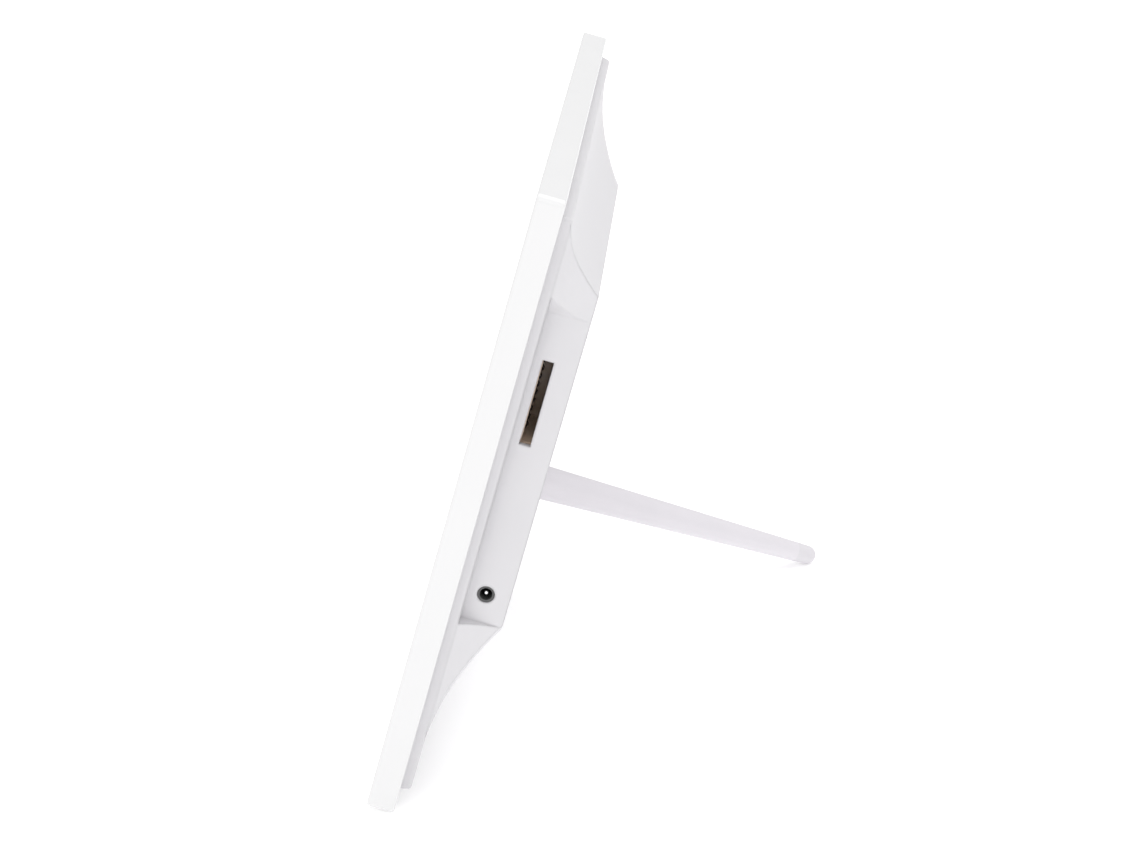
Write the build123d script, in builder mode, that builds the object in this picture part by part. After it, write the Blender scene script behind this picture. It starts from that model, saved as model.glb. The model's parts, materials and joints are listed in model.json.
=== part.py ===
from build123d import *
from math import cos, radians, sin, sqrt
import os

# Digital photo frame, landscape, leaning back on a screw-in peg. Millimetres.
# World axes: +X to the viewer's right, +Y backwards, +Z up, standing on z = 0.
# Inside the housing a place is given as x, height up the front face, and
# depth behind the front face.

# ---------------------------------------------------------------- driving sizes
LEAN = 15.4  # how far the frame leans back, degrees
BEZEL_W, BEZEL_H, BEZEL_T = 228.0, 192.0, 8.3
BEZEL_CORNER = 2.0
EDGE_ROUND = 0.8
SIDE_WALL = 2.4
FRONT_WALL = 1.6
WINDOW_W, WINDOW_H = 176.0, 136.0
ACTIVE_W, ACTIVE_H = 162.0, 122.0
MID = BEZEL_H / 2  # height of the screen's centre

FLANGE_FRONT = 6.7
TRAY_INSET = 5.5
TRAY_BACK = 11.4
TRAY_DRAFT = 12.0
SHELL = 2.2  # rear cover wall
HUMP_BACK = 24.0
HUMP_RISE = HUMP_BACK - TRAY_BACK

# The hump's flat top, and the foot that each flared side runs out to
PLATEAU_LOW, PLATEAU_HIGH, PLATEAU_FAR = 50.0, 165.5, -72.0
FOOT_LOW, FOOT_HIGH, FOOT_FAR = 6.6, 185.6, -108.0
NEAR_EDGE = 126.0  # beyond the connector side, where the hump is cut off flat
R_NEAR_LOW, R_NEAR_HIGH = 60.0, 24.0
R_FAR_FOOT, R_FAR_TOP = 30.0, 55.0
FOOT_SLOPE = 0.1  # share of a straight ramp in the flare
LEVELS = (-0.03, 0.03, 0.12, 0.3, 0.6, 1.0)  # share of the rise at each section

CONNECTOR_WALL = 102.5
POCKET_LOW, POCKET_HIGH = 61.5, 157.6
POCKET_LEAN = 1.1  # how steeply the pocket's upper end rises on its way out
SIDE_HOLLOW = 1.2  # how far the connector side curves in between tray and top

SLOT_LOW, SLOT_HIGH = 117.5, 143.5
SLOT_FRONT, SLOT_BACK = 13.95, 17.25
JACK_HEIGHT, JACK_DEPTH = 70.4, 16.8
JACK_HOLE_R, JACK_NOSE_R, JACK_BORE_R, JACK_PIN_R = 2.6, 2.5, 1.8, 0.65

PEG_ROOT_X, PEG_ROOT_UP, PEG_ROOT_DEPTH = -38.0, 55.0, 23.5
PEG_TIP_X, PEG_TIP_DEPTH = -88.0, 127.7
PEG_BASE_R, PEG_NECK_R, FOOT_R = 6.0, 3.5, 3.3
FOOT_LENGTH = 9.0
WASHER_T = 0.6
BOSS_R, SEAT_R = 9.5, 7.8
BOSS_DEPTH = 11.0
INSERT_R, INSERT_LENGTH = 4.5, 9.2
STUD_R, STUD_LENGTH, PITCH = 3.0, 8.6, 1.0
THREAD_FIT = 0.05

GAP = 0.1  # between parts that rest on each other
BOARD_T = 1.6
BOARD_FRONT = 12.0
BOARD_BACK = BOARD_FRONT + BOARD_T
BOARD_LEFT, BOARD_RIGHT, BOARD_LOW, BOARD_HIGH = 28.0, 99.8, 62.0, 152.0
KEYS_FRONT, KEYS_T = 15.5, 1.2
BUTTON_R, BUTTON_PROUD, BUTTON_FIT = 3.6, 0.5, 0.15
BUTTONS = {
    "button_up": (5.0, 151.0),
    "button_down": (5.0, 129.0),
    "button_left": (-6.0, 140.0),
    "button_right": (16.0, 140.0),
    "button_enter": (5.0, 140.0),
    "button_menu": (31.0, 145.5),
    "button_back": (31.0, 134.5),
}
POWER_X, POWER_UP, POWER_TRAVEL = 49.0, 138.0, 4.0
SPEAKERS = {"left": (-46.0, 100.0), "right": (-10.0, 100.0)}
SPEAKER_R, SPEAKER_T = 14.0, 5.0
COVER_SCREWS = [(-100.0, 14.0), (100.0, 14.0), (-100.0, 178.0)]  # the fourth corner has the connectors
BOARD_SCREWS = [(32.5, 83.0), (95.0, 83.0), (95.0, 147.5), (62.5, 147.5)]
KEY_SCREWS = [(x, up) for x in (-9.0, 53.0) for up in (126.5, 153.5)]

os.makedirs("parts", exist_ok=True)

# ------------------------------------------------------------- places in space
TILT = radians(LEAN)
UP = Vector(0, sin(TILT), cos(TILT))  # up the front face
BACK = Vector(0, cos(TILT), -sin(TILT))  # straight behind the front face
RIGHT = Vector(1, 0, 0)

# The rounded lower back edge of the bezel and the peg's foot both touch z = 0
LIFT = EDGE_ROUND * (1 - cos(TILT)) + (BEZEL_T - EDGE_ROUND) * sin(TILT)
PEG_TIP_UP = (FOOT_R - LIFT + PEG_TIP_DEPTH * sin(TILT)) / cos(TILT)
FRONT_REACH = EDGE_ROUND * (sin(TILT) + cos(TILT) - 1)
BACK_REACH = PEG_TIP_UP * sin(TILT) + PEG_TIP_DEPTH * cos(TILT) + FOOT_R
CORNER = Vector(0, -(FRONT_REACH + BACK_REACH) / 2, LIFT)


def place(x, up, depth):
    """A point in the world from its place in the housing."""
    return CORNER + RIGHT * x + UP * up + BACK * depth


def face(depth):
    """Plane parallel to the front: local x and height, +z towards the viewer."""
    return Plane(origin=place(0, 0, depth), x_dir=RIGHT, z_dir=BACK * -1)


def across(up):
    """Plane square to the height: local x and depth, +z up the frame."""
    return Plane(origin=place(0, up, 0), x_dir=RIGHT, z_dir=UP)


def side(x):
    """Plane square to the width: local depth and height, +z to the right."""
    return Plane(origin=place(x, 0, 0), x_dir=BACK, z_dir=RIGHT)


def save(builder, label):
    """Name a finished piece and write its file."""
    builder.part.label = label
    export_step(builder.part, f"parts/{label}.step")


def slab(low_x, high_x, low, high):
    """Rectangle between two widths and two heights in the current sketch."""
    with Locations(((low_x + high_x) / 2, (low + high) / 2)):
        Rectangle(high_x - low_x, high - low)


DEPTH_AXIS = Axis(place(0, 0, 0), BACK)
WIDTH_AXIS = Axis(place(0, 0, 0), RIGHT)

PEG_ROOT = place(PEG_ROOT_X, PEG_ROOT_UP, PEG_ROOT_DEPTH)
PEG_TIP = place(PEG_TIP_X, PEG_TIP_UP, PEG_TIP_DEPTH)
PEG_AXIS = (PEG_TIP - PEG_ROOT).normalized()
PEG_LENGTH = (PEG_TIP - PEG_ROOT).length
PEG = Plane(origin=PEG_ROOT, z_dir=PEG_AXIS)


# ------------------------------------------------------------------ rear hump
def flare(run, share):
    """How far a concave flare has come in from its foot at a share of the rise."""
    curve = 1 - FOOT_SLOPE
    return run * (sqrt(FOOT_SLOPE**2 + 4 * curve * max(share, 0)) - FOOT_SLOPE) / (2 * curve)


def hump_outline(share, inset):
    """Outline of the hump at a share of its rise, as a closed line."""
    come_in = flare(1.0, share)
    low = FOOT_LOW + come_in * (PLATEAU_LOW - FOOT_LOW) + inset
    high = FOOT_HIGH + come_in * (PLATEAU_HIGH - FOOT_HIGH) - inset
    far = FOOT_FAR + come_in * (PLATEAU_FAR - FOOT_FAR) + inset
    r_far = R_FAR_FOOT + come_in * (R_FAR_TOP - R_FAR_FOOT) - inset
    corners = [(NEAR_EDGE, low), (NEAR_EDGE, high), (far, high), (far, low)]
    radii = [R_NEAR_LOW - inset, R_NEAR_HIGH - inset, r_far, r_far]
    FilletPolyline(*corners, radius=radii, close=True)


def hump_section(share, inset, sunk):
    """One level of the hump, drawn in by inset and sunk towards the front."""
    with BuildSketch(face(TRAY_BACK + share * HUMP_RISE - sunk)) as section:
        with BuildLine():
            hump_outline(share, inset)
        make_face()
    return section.sketch


def side_profile(inset):
    """Half space left of the hollowed connector side, in width and depth."""
    foot = (BEZEL_W / 2 - TRAY_INSET - 0.7 - inset, TRAY_BACK)
    top = (CONNECTOR_WALL - inset, HUMP_BACK)
    middle = ((foot[0] + top[0]) / 2 - SIDE_HOLLOW, (foot[1] + top[1]) / 2)
    ThreePointArc(foot, middle, top)
    Polyline(top, (top[0], HUMP_BACK + 5), (-BEZEL_W, HUMP_BACK + 5), (-BEZEL_W, 0), (foot[0], 0), foot)


with BuildPart() as hump:
    loft([hump_section(share, 0, 0) for share in LEVELS])
    with BuildSketch(across(0)):
        with BuildLine():
            side_profile(0)
        make_face()
    extrude(amount=BEZEL_H, mode=Mode.INTERSECT)
    with BuildSketch(face(TRAY_BACK)):
        with BuildLine():
            Polyline(
                (CONNECTOR_WALL, POCKET_LOW),
                (NEAR_EDGE, POCKET_LOW),
                (NEAR_EDGE, POCKET_HIGH + POCKET_LEAN * (NEAR_EDGE - CONNECTOR_WALL)),
                (CONNECTOR_WALL, POCKET_HIGH),
                close=True,
            )
        make_face()
    extrude(amount=-HUMP_RISE - 5, mode=Mode.SUBTRACT)

with BuildPart() as hump_hollow:
    loft([hump_section(share, 1.0, SHELL) for share in LEVELS])
    with BuildSketch(side(CONNECTOR_WALL - SHELL)):
        slab(0, HUMP_BACK + 5, 0, BEZEL_H)
    extrude(amount=BEZEL_W, mode=Mode.SUBTRACT)

# ----------------------------------------------------------------- rear cover
FLANGE_W = BEZEL_W - 2 * (SIDE_WALL + 0.2)
FLANGE_H = BEZEL_H - 2 * (SIDE_WALL + 0.2)
TRAY_W = BEZEL_W - 2 * TRAY_INSET
TRAY_H = BEZEL_H - 2 * TRAY_INSET
TRAY_FLOOR = TRAY_BACK - SHELL

with BuildPart() as tray:
    with BuildSketch(face(BEZEL_T)):
        with Locations((0, MID)):
            RectangleRounded(TRAY_W, TRAY_H, 1.5)
    extrude(amount=BEZEL_T - TRAY_BACK, taper=TRAY_DRAFT)
    fillet(tray.faces().sort_by(DEPTH_AXIS)[-1].edges(), 1.1)

with BuildPart() as peg_boss:
    with BuildSketch(PEG):
        Circle(BOSS_R)
    extrude(amount=-BOSS_DEPTH)

with BuildPart() as boss_skirt:
    with BuildSketch(PEG):
        Circle(BOSS_R)
    extrude(amount=BOSS_R)
    split(bisect_by=face(HUMP_BACK - 0.5), keep=Keep.TOP)

with BuildPart() as rear_cover:
    with BuildSketch(face(FLANGE_FRONT)):
        with Locations((0, MID)):
            RectangleRounded(FLANGE_W, FLANGE_H, 1.0)
    extrude(amount=FLANGE_FRONT - BEZEL_T)
    add(tray.part)
    add(hump.part)
    # hollow inside of the tray and of the hump
    with BuildSketch(face(FLANGE_FRONT)):
        with Locations((0, MID)):
            RectangleRounded(TRAY_W - 2 * SHELL, TRAY_H - 2 * SHELL, 1.0)
    extrude(amount=FLANGE_FRONT - TRAY_FLOOR, mode=Mode.SUBTRACT)
    add(hump_hollow.part, mode=Mode.SUBTRACT)
    # raised seat for the peg, with its skirt up to the back face
    add(peg_boss.part)
    add(boss_skirt.part)
    with BuildSketch(PEG):
        Circle(SEAT_R)
    extrude(amount=BOSS_R, mode=Mode.SUBTRACT)
    with BuildSketch(PEG):
        Circle(INSERT_R)
    extrude(amount=-INSERT_LENGTH - GAP, mode=Mode.SUBTRACT)
    # card slot and jack hole through the flat connector wall
    with BuildSketch(side(CONNECTOR_WALL + 1)):
        slab(SLOT_FRONT, SLOT_BACK, SLOT_LOW, SLOT_HIGH)
        with Locations((JACK_DEPTH, JACK_HEIGHT)):
            Circle(JACK_HOLE_R)
    extrude(amount=-SHELL - 2, mode=Mode.SUBTRACT)
    # holes for the buttons, the power slider and the speakers' sound
    with BuildSketch(face(HUMP_BACK + 1)):
        with Locations(*BUTTONS.values()):
            Circle(BUTTON_R + BUTTON_FIT)
        with Locations((POWER_X, POWER_UP)):
            Rectangle(5.0, 8.0 + POWER_TRAVEL)
        for middle in SPEAKERS.values():
            with Locations(middle):
                Circle(0.9)
                for ring, holes in ((3.4, 6), (6.8, 12), (10.2, 18)):
                    with PolarLocations(ring, holes):
                        Circle(0.9)
    extrude(amount=SHELL + 2, mode=Mode.SUBTRACT)
    # warm air leaves by a row of slots near the top of the back
    with BuildSketch(face(HUMP_BACK + 1)):
        with Locations((-31.0, 154.0)):
            with GridLocations(5.0, 0, 7, 1):
                SlotCenterToCenter(5.0, 1.6, rotation=90)
    extrude(amount=SHELL + 3, mode=Mode.SUBTRACT)
    # board posts hang from the back, with a pilot hole for each screw
    with BuildSketch(face(BOARD_BACK + 0.05)):
        with Locations(*BOARD_SCREWS):
            Circle(2.8)
    extrude(amount=BOARD_BACK - HUMP_BACK + SHELL / 2)
    with BuildSketch(face(KEYS_FRONT + KEYS_T + 0.05)):
        with Locations(*KEY_SCREWS):
            Circle(2.2)
    extrude(amount=KEYS_FRONT + KEYS_T - HUMP_BACK + SHELL / 2)
    with BuildSketch(face(BOARD_BACK)):
        with Locations(*BOARD_SCREWS):
            Circle(1.1)
    extrude(amount=-6.0, mode=Mode.SUBTRACT)
    with BuildSketch(face(KEYS_FRONT)):
        with Locations(*KEY_SCREWS):
            Circle(0.85)
    extrude(amount=-6.0, mode=Mode.SUBTRACT)
    # sunk holes for the cover screws
    with BuildSketch(face(FLANGE_FRONT - 1)):
        with Locations(*COVER_SCREWS):
            Circle(1.6)
    extrude(amount=FLANGE_FRONT - 1 - HUMP_BACK, mode=Mode.SUBTRACT)
    with BuildSketch(face(TRAY_FLOOR + 1.0)):
        with Locations(*COVER_SCREWS):
            Circle(3.0)
    extrude(amount=TRAY_FLOOR - HUMP_BACK, mode=Mode.SUBTRACT)
save(rear_cover, "rear_cover")

# ---------------------------------------------------------------- front bezel
with BuildPart() as front_bezel:
    with BuildSketch(face(0)):
        with Locations((0, MID)):
            RectangleRounded(BEZEL_W, BEZEL_H, BEZEL_CORNER)
    extrude(amount=-BEZEL_T)
    fillet(front_bezel.faces().sort_by(DEPTH_AXIS)[0].edges(), EDGE_ROUND)
    fillet(front_bezel.faces().sort_by(DEPTH_AXIS)[-1].edges(), EDGE_ROUND)
    with BuildSketch(face(FRONT_WALL)):
        with Locations((0, MID)):
            RectangleRounded(BEZEL_W - 2 * SIDE_WALL, BEZEL_H - 2 * SIDE_WALL, 1.2)
    extrude(amount=FRONT_WALL - BEZEL_T, mode=Mode.SUBTRACT)
    with BuildSketch(face(0)):
        with Locations((0, MID)):
            Rectangle(WINDOW_W, WINDOW_H)
    extrude(amount=-FRONT_WALL, mode=Mode.SUBTRACT)
    rim = front_bezel.faces().sort_by(DEPTH_AXIS)[0].inner_wires()[0].edges()
    chamfer(rim, 0.9)
    # screw posts in the corners
    with BuildSketch(face(FRONT_WALL)):
        with Locations(*COVER_SCREWS):
            Circle(3.0)
    extrude(amount=FRONT_WALL - TRAY_FLOOR + GAP)
    with BuildSketch(face(TRAY_FLOOR)):
        with Locations(*COVER_SCREWS):
            Circle(1.25)
    extrude(amount=6.5, mode=Mode.SUBTRACT)
save(front_bezel, "front_bezel")

# -------------------------------------------------------------- display stack
LENS_FRONT, LENS_T = FRONT_WALL + GAP, 1.2
MAT_FRONT, MAT_T = LENS_FRONT + LENS_T + GAP, 0.5
GASKET_FRONT, GASKET_T = MAT_FRONT + MAT_T + GAP, 0.4
PANEL_FRONT, PANEL_T = GASKET_FRONT + GASKET_T + GAP, 4.9
PANEL_W, PANEL_H, PANEL_SHEET = 183.0, 141.0, 0.4
GLASS_T, GUIDE_T = 1.3, 2.3

with BuildPart() as screen_lens:
    with BuildSketch(face(LENS_FRONT)):
        with Locations((0, MID)):
            RectangleRounded(WINDOW_W + 8, WINDOW_H + 8, 2.0)
    extrude(amount=-LENS_T)
save(screen_lens, "screen_lens")

with BuildPart() as screen_mat:
    with BuildSketch(face(MAT_FRONT)):
        with Locations((0, MID)):
            RectangleRounded(WINDOW_W + 8, WINDOW_H + 8, 2.0)
            Rectangle(ACTIVE_W, ACTIVE_H, mode=Mode.SUBTRACT)
    extrude(amount=-MAT_T)
    opening = screen_mat.faces().sort_by(DEPTH_AXIS)[0].inner_wires()[0].edges()
    chamfer(opening, 0.3)
save(screen_mat, "screen_mat")

with BuildPart() as foam_gasket:
    with BuildSketch(face(GASKET_FRONT)):
        with Locations((0, MID)):
            RectangleRounded(PANEL_W, PANEL_H, 1.0)
            Rectangle(ACTIVE_W + 6, ACTIVE_H + 6, mode=Mode.SUBTRACT)
    extrude(amount=-GASKET_T)
save(foam_gasket, "foam_gasket")

with BuildPart() as panel_frame:
    with BuildSketch(face(PANEL_FRONT)):
        with Locations((0, MID)):
            RectangleRounded(PANEL_W, PANEL_H, 0.8)
    extrude(amount=-PANEL_T)
    with BuildSketch(face(PANEL_FRONT + PANEL_SHEET)):
        with Locations((0, MID)):
            Rectangle(PANEL_W - 2 * PANEL_SHEET, PANEL_H - 2 * PANEL_SHEET)
    extrude(amount=PANEL_SHEET - PANEL_T, mode=Mode.SUBTRACT)
    with BuildSketch(face(PANEL_FRONT)):
        with Locations((0, MID)):
            Rectangle(ACTIVE_W + 4, ACTIVE_H + 4)
    extrude(amount=-PANEL_SHEET, mode=Mode.SUBTRACT)
save(panel_frame, "panel_frame")

LAYER_W = PANEL_W - 2 * PANEL_SHEET - 2 * GAP
LAYER_H = PANEL_H - 2 * PANEL_SHEET - 2 * GAP
GLASS_FRONT = PANEL_FRONT + PANEL_SHEET + GAP
GUIDE_FRONT = GLASS_FRONT + GLASS_T + GAP
PLATE_FRONT = GUIDE_FRONT + GUIDE_T + GAP
for label, front, thick in (
    ("lcd_glass", GLASS_FRONT, GLASS_T),
    ("light_guide", GUIDE_FRONT, GUIDE_T),
    ("panel_back_plate", PLATE_FRONT, PANEL_SHEET),
):
    with BuildPart() as layer:
        with BuildSketch(face(front)):
            with Locations((0, MID)):
                Rectangle(LAYER_W, LAYER_H)
        extrude(amount=-thick)
    save(layer, label)

# ----------------------------------------------------------------- main board
with BuildPart() as main_board:
    with BuildSketch(face(BOARD_FRONT)):
        slab(BOARD_LEFT, BOARD_RIGHT, BOARD_LOW, BOARD_HIGH)
        with Locations(*BOARD_SCREWS):
            Circle(1.6, mode=Mode.SUBTRACT)
    extrude(amount=-BOARD_T)
save(main_board, "main_board")

with BuildPart() as board_chips:
    with BuildSketch(face(BOARD_BACK)):
        slab(40.0, 57.0, 104.0, 121.0)
        slab(62.0, 70.0, 92.0, 103.0)
        slab(62.0, 70.0, 76.0, 87.0)
    extrude(amount=-1.2)
save(board_chips, "board_chips")

BATTERY = (46.0, 76.0)
with BuildPart() as battery_holder:
    with BuildSketch(face(BOARD_BACK)):
        with Locations(BATTERY):
            Circle(11.6)
    extrude(amount=-3.6)
    with BuildSketch(face(BOARD_BACK + 0.6)):
        with Locations(BATTERY):
            Circle(10.1)
    extrude(amount=-3.6, mode=Mode.SUBTRACT)
save(battery_holder, "battery_holder")

with BuildPart() as clock_battery:
    with BuildSketch(face(BOARD_BACK + 0.65)):
        with Locations(BATTERY):
            Circle(10.0)
    extrude(amount=-2.5)
    fillet(clock_battery.faces().sort_by(DEPTH_AXIS)[-1].edges(), 0.3)
save(clock_battery, "clock_battery")

# Screws come from the front of the board into the posts
with BuildPart() as board_screws:
    with BuildSketch(face(BOARD_FRONT)):
        with Locations(*BOARD_SCREWS):
            Circle(2.6)
    extrude(amount=1.2)
    with BuildSketch(face(BOARD_FRONT)):
        with Locations(*BOARD_SCREWS):
            Circle(1.05)
    extrude(amount=-7.0)
    with BuildSketch(face(BOARD_FRONT - 1.2)):
        with Locations(*BOARD_SCREWS):
            Rectangle(2.4, 0.5)
            Rectangle(0.5, 2.4)
    extrude(amount=-0.7, mode=Mode.SUBTRACT)
save(board_screws, "board_screws")

COVER_HEAD = TRAY_FLOOR + 1.0
with BuildPart() as cover_screws:
    with BuildSketch(face(COVER_HEAD)):
        with Locations(*COVER_SCREWS):
            Circle(2.7)
    extrude(amount=-1.0)
    fillet(cover_screws.faces().sort_by(DEPTH_AXIS)[-len(COVER_SCREWS) :].edges(), 0.4)
    with BuildSketch(face(COVER_HEAD)):
        with Locations(*COVER_SCREWS):
            Circle(1.2)
    extrude(amount=6.5)
    with BuildSketch(face(COVER_HEAD + 1.0)):
        with Locations(*COVER_SCREWS):
            Rectangle(2.8, 0.6)
            Rectangle(0.6, 2.8)
    extrude(amount=0.6, mode=Mode.SUBTRACT)
save(cover_screws, "cover_screws")

# ------------------------------------------------------------- card connector
CARD_LOW, CARD_HIGH = SLOT_LOW - 1.2, SLOT_HIGH + 1.2
CARD_LEFT, CARD_RIGHT = 72.0, BOARD_RIGHT
CARD_BACK = SLOT_BACK + 0.6
BASE_BACK = SLOT_FRONT + 0.35
SHEET = 0.3
CONTACTS = 9

with BuildPart() as card_connector_base:
    with BuildSketch(face(BOARD_BACK)):
        slab(CARD_LEFT, CARD_RIGHT, CARD_LOW + SHEET + 0.05, CARD_HIGH - SHEET - 0.05)
    extrude(amount=BOARD_BACK - BASE_BACK)
    # block at the inner end, and a rail along each side
    with BuildSketch(face(BASE_BACK)):
        slab(CARD_LEFT, CARD_LEFT + 3.0, CARD_LOW + 0.5, CARD_HIGH - 0.5)
        slab(CARD_LEFT, CARD_RIGHT - 1.5, CARD_LOW + 0.4, CARD_LOW + 1.1)
        slab(CARD_LEFT, CARD_RIGHT - 1.5, CARD_HIGH - 1.1, CARD_HIGH - 0.4)
    extrude(amount=BASE_BACK - CARD_BACK + SHEET + 0.05)
    # a channel for each contact spring
    with BuildSketch(face(BASE_BACK)):
        with Locations((CARD_RIGHT - 13.0, (CARD_LOW + CARD_HIGH) / 2)):
            with GridLocations(0, 2.5, 1, CONTACTS):
                Rectangle(18.0, 1.3)
    extrude(amount=0.4, mode=Mode.SUBTRACT)
save(card_connector_base, "card_connector_base")

with BuildPart() as card_connector_shell:
    with BuildSketch(face(BOARD_BACK)):
        slab(CARD_LEFT, CARD_RIGHT, CARD_LOW, CARD_HIGH)
    extrude(amount=BOARD_BACK - CARD_BACK)
    with BuildSketch(face(BOARD_BACK)):
        slab(CARD_LEFT - 1, CARD_RIGHT + 1, CARD_LOW + SHEET, CARD_HIGH - SHEET)
    extrude(amount=BOARD_BACK - CARD_BACK + SHEET, mode=Mode.SUBTRACT)
    # two long openings over the card's guide springs
    with BuildSketch(face(CARD_BACK + 1)):
        slab(CARD_LEFT + 5, CARD_RIGHT - 5, CARD_LOW + 4, CARD_LOW + 5.5)
        slab(CARD_LEFT + 5, CARD_RIGHT - 5, CARD_HIGH - 5.5, CARD_HIGH - 4)
    extrude(amount=2.0, mode=Mode.SUBTRACT)
save(card_connector_shell, "card_connector_shell")

with BuildPart() as card_contacts:
    for number in range(CONTACTS):
        up = (CARD_LOW + CARD_HIGH) / 2 + 2.5 * (number - (CONTACTS - 1) / 2)
        with BuildSketch(across(up - 0.4)):
            with BuildLine():
                start = (CARD_RIGHT - 20.0, BASE_BACK - 0.2)
                crest = (CARD_RIGHT - 7.0, BASE_BACK + 1.0)
                tip = (CARD_RIGHT - 4.5, BASE_BACK + 0.1)
                Polyline(start, crest, tip)
                offset(amount=0.12)
            make_face()
        extrude(amount=0.8)
save(card_contacts, "card_contacts")

# --------------------------------------------------------------- power inlet
JACK_TOP = JACK_DEPTH + 3.2
with BuildPart() as dc_jack_body:
    with BuildSketch(face(BOARD_BACK)):
        slab(BOARD_RIGHT - 11.0, BOARD_RIGHT, JACK_HEIGHT - 4.4, JACK_HEIGHT + 4.4)
    extrude(amount=BOARD_BACK - JACK_TOP)
    with BuildSketch(side(BOARD_RIGHT)):
        with Locations((JACK_DEPTH, JACK_HEIGHT)):
            Circle(JACK_NOSE_R)
    extrude(amount=CONNECTOR_WALL - 0.3 - BOARD_RIGHT)
    with BuildSketch(side(CONNECTOR_WALL)):
        with Locations((JACK_DEPTH, JACK_HEIGHT)):
            Circle(JACK_BORE_R)
    extrude(amount=-10.5, mode=Mode.SUBTRACT)
    fillet(dc_jack_body.faces().sort_by(WIDTH_AXIS)[-1].inner_wires()[0].edges(), 0.2)
save(dc_jack_body, "dc_jack_body")

with BuildPart() as dc_jack_pin:
    with BuildSketch(side(CONNECTOR_WALL - 10.45)):
        with Locations((JACK_DEPTH, JACK_HEIGHT)):
            Circle(JACK_PIN_R)
    extrude(amount=9.2)
    fillet(dc_jack_pin.faces().sort_by(WIDTH_AXIS)[-1].edges(), 0.4)
save(dc_jack_pin, "dc_jack_pin")

# ------------------------------------------------------------------ speakers
SPEAKER_BACK = HUMP_BACK - SHELL - 0.1
for label, middle in SPEAKERS.items():
    with BuildPart() as speaker_frame:
        with BuildSketch(face(SPEAKER_BACK)):
            with Locations(middle):
                Circle(SPEAKER_R)
        extrude(amount=1.2)
        with BuildSketch(face(SPEAKER_BACK - 1.2)):
            with Locations(middle):
                Circle(SPEAKER_R - 4)
        extrude(amount=SPEAKER_T - 1.2)
        with BuildSketch(face(SPEAKER_BACK)):
            with Locations(middle):
                Circle(SPEAKER_R - 1.5)
        extrude(amount=1.0, mode=Mode.SUBTRACT)
    save(speaker_frame, f"speaker_frame_{label}")
    with BuildPart() as speaker_cone:
        with BuildSketch(face(SPEAKER_BACK - 0.9)):
            with Locations(middle):
                Circle(SPEAKER_R - 1.6)
        extrude(amount=-0.25)
        with BuildSketch(face(SPEAKER_BACK - 0.65)):
            with Locations(middle):
                Circle(5.0)
        extrude(amount=-0.5)
        fillet(speaker_cone.faces().sort_by(DEPTH_AXIS)[-1].edges(), 0.4)
    save(speaker_cone, f"speaker_cone_{label}")

# ------------------------------------------------------------------- buttons
KEYS_BACK = KEYS_FRONT + KEYS_T
BUTTON_SKIRT_FRONT = HUMP_BACK - SHELL - 1.2
SWITCH_TOP = BUTTON_SKIRT_FRONT - 0.5

with BuildPart() as button_board:
    with BuildSketch(face(KEYS_FRONT)):
        slab(-12.0, 56.0, 123.0, 157.0)
        with Locations(*KEY_SCREWS):
            Circle(1.2, mode=Mode.SUBTRACT)
    extrude(amount=-KEYS_T)
save(button_board, "button_board")

with BuildPart() as key_board_screws:
    with BuildSketch(face(KEYS_FRONT)):
        with Locations(*KEY_SCREWS):
            Circle(1.9)
    extrude(amount=0.9)
    with BuildSketch(face(KEYS_FRONT)):
        with Locations(*KEY_SCREWS):
            Circle(0.8)
    extrude(amount=-4.5)
save(key_board_screws, "key_board_screws")

with BuildPart() as tact_switches:
    with BuildSketch(face(KEYS_BACK)):
        with Locations(*BUTTONS.values()):
            Rectangle(6.0, 6.0)
    extrude(amount=-2.4)
    with BuildSketch(face(KEYS_BACK + 2.4)):
        with Locations(*BUTTONS.values()):
            Circle(1.7)
    extrude(amount=KEYS_BACK + 2.4 - SWITCH_TOP)
save(tact_switches, "tact_switches")

for label, middle in BUTTONS.items():
    with BuildPart() as button:
        with BuildSketch(face(BUTTON_SKIRT_FRONT)):
            with Locations(middle):
                Circle(BUTTON_R + 1.0)
        extrude(amount=-0.9)
        with BuildSketch(face(BUTTON_SKIRT_FRONT + 0.9)):
            with Locations(middle):
                Circle(BUTTON_R)
        extrude(amount=BUTTON_SKIRT_FRONT + 0.9 - HUMP_BACK - BUTTON_PROUD)
        fillet(button.faces().sort_by(DEPTH_AXIS)[-1].edges(), 0.4)
    save(button, label)

# Power slider: a thumb piece through the back, riding on a small slide switch
POWER_REST = POWER_UP - POWER_TRAVEL / 2
with BuildPart() as power_slider:
    with BuildSketch(face(HUMP_BACK + 0.4)):
        with Locations((POWER_X, POWER_REST)):
            RectangleRounded(4.6, 7.6, 0.8)
    extrude(amount=SHELL + 0.6)
    with BuildSketch(face(HUMP_BACK - SHELL - 0.2)):
        with Locations((POWER_X, POWER_REST)):
            Rectangle(7.0, 10.0)
    extrude(amount=0.9)
    with BuildSketch(face(HUMP_BACK - SHELL - 1.1)):
        with Locations((POWER_X, POWER_REST)):
            Rectangle(1.6, 1.8)
    extrude(amount=2.2)
    with BuildSketch(face(HUMP_BACK + 0.4)):
        with Locations((POWER_X, POWER_REST)):
            with GridLocations(0, 1.5, 1, 4):
                Rectangle(4.6, 0.6)
    extrude(amount=0.35, mode=Mode.SUBTRACT)
save(power_slider, "power_slider")

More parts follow.
